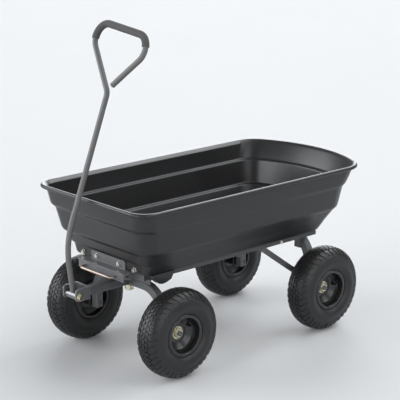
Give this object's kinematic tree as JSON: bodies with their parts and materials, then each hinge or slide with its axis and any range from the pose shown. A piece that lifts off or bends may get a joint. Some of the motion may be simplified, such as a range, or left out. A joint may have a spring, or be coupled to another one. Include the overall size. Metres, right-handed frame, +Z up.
{
  "type": "tipping dump cart",
  "caption": "Pull-along garden cart with a moulded tipping tub, release bail, arched axles, steered front wheels and a loop handle.",
  "frame": {"origin": "on the ground below the middle of the whole cart's box", "axes": "+X forwards to the pull handle, +Y to the cart's left, +Z up"},
  "size_m": [1.0149, 0.506, 0.981],
  "materials": {
    "tub_plastic": "satin moulded",
    "frame_paint": "satin powder coat",
    "handle_paint": "satin powder coat",
    "zinc": "bright zinc",
    "yellow_zinc": "yellow zinc",
    "grip": "soft matte",
    "tyre": "matte rubber",
    "rim_paint": "gloss black",
    "valve": "matte rubber"
  },
  "bodies": {
    "chassis": {"rail_left": "frame_paint", "rail_right": "frame_paint", "rear_gussets": "frame_paint", "rear_axle": "frame_paint", "brace_left": "frame_paint", "brace_right": "frame_paint", "brace_bolts": "zinc", "hinge_lugs": "frame_paint", "keeper_bar": "frame_paint", "front_bolster": "frame_paint", "turntable_upper": "frame_paint", "kingpin": "zinc", "kingpin_nut": "yellow_zinc", "rear_axle_stubs": "zinc", "rear_axle_nuts": "yellow_zinc"},
    "tub": {"tub": "tub_plastic", "front_feet": "tub_plastic", "bed_rail_left": "frame_paint", "bed_rail_right": "frame_paint", "bed_rail_bolts": "zinc", "tub_hinge_brackets": "frame_paint", "hinge_pins": "zinc", "latch_bracket": "frame_paint", "latch_bolts": "zinc"},
    "release_bail": {"release_bail": "zinc", "bail_collars": "zinc", "bail_springs": "zinc"},
    "front_axle": {"front_axle": "frame_paint", "turntable_lower": "frame_paint", "tongue": "frame_paint", "clevis": "frame_paint", "handle_pivot_bolt": "yellow_zinc", "front_axle_stubs": "zinc", "front_axle_nuts": "yellow_zinc"},
    "handle": {"handle_bush": "handle_paint", "handle_tube": "handle_paint", "handle_grip": "grip", "handle_end_cap": "handle_paint"},
    "wheel_front_left": {"tyre_front_left": "tyre", "rim_outer_front_left": "rim_paint", "rim_inner_front_left": "rim_paint", "hub_front_left": "rim_paint", "valve_front_left": "valve"},
    "wheel_front_right": {"tyre_front_right": "tyre", "rim_outer_front_right": "rim_paint", "rim_inner_front_right": "rim_paint", "hub_front_right": "rim_paint", "valve_front_right": "valve"},
    "wheel_rear_left": {"tyre_rear_left": "tyre", "rim_outer_rear_left": "rim_paint", "rim_inner_rear_left": "rim_paint", "hub_rear_left": "rim_paint", "valve_rear_left": "valve"},
    "wheel_rear_right": {"tyre_rear_right": "tyre", "rim_outer_rear_right": "rim_paint", "rim_inner_rear_right": "rim_paint", "hub_rear_right": "rim_paint", "valve_rear_right": "valve"}
  },
  "joints": [
    {"name": "steer", "type": "hinge", "parent": "chassis", "child": "front_axle", "pos_m": [0.28247, 0, 0.2365], "axis": [0, 0, 1], "range_deg": [-22, 22]},
    {"name": "handle_lower", "type": "hinge", "parent": "front_axle", "child": "handle", "pos_m": [0.48447, 0, 0.235], "axis": [0, 1, 0], "range_deg": [0, 115]},
    {"name": "tub_tip", "type": "hinge", "parent": "chassis", "child": "tub", "pos_m": [-0.33853, 0, 0.281], "axis": [0, -1, 0], "range_deg": [0, 75]},
    {"name": "bail_pull", "type": "slide", "parent": "tub", "child": "release_bail", "axis": [1, 0, 0], "range_m": [0, 0.016], "stiffness_N_per_m": 800, "springref_m": -0.01, "deforming": ["bail_springs"]},
    {"name": "wheel_spin_front_left", "type": "hinge", "parent": "front_axle", "child": "wheel_front_left", "pos_m": [0.28247, 0.211, 0.13], "axis": [0, 1, 0], "continuous": true},
    {"name": "wheel_spin_front_right", "type": "hinge", "parent": "front_axle", "child": "wheel_front_right", "pos_m": [0.28247, -0.211, 0.13], "axis": [0, 1, 0], "continuous": true},
    {"name": "wheel_spin_rear_left", "type": "hinge", "parent": "chassis", "child": "wheel_rear_left", "pos_m": [-0.30953, 0.211, 0.13], "axis": [0, 1, 0], "continuous": true},
    {"name": "wheel_spin_rear_right", "type": "hinge", "parent": "chassis", "child": "wheel_rear_right", "pos_m": [-0.30953, -0.211, 0.13], "axis": [0, 1, 0], "continuous": true}
  ]
}
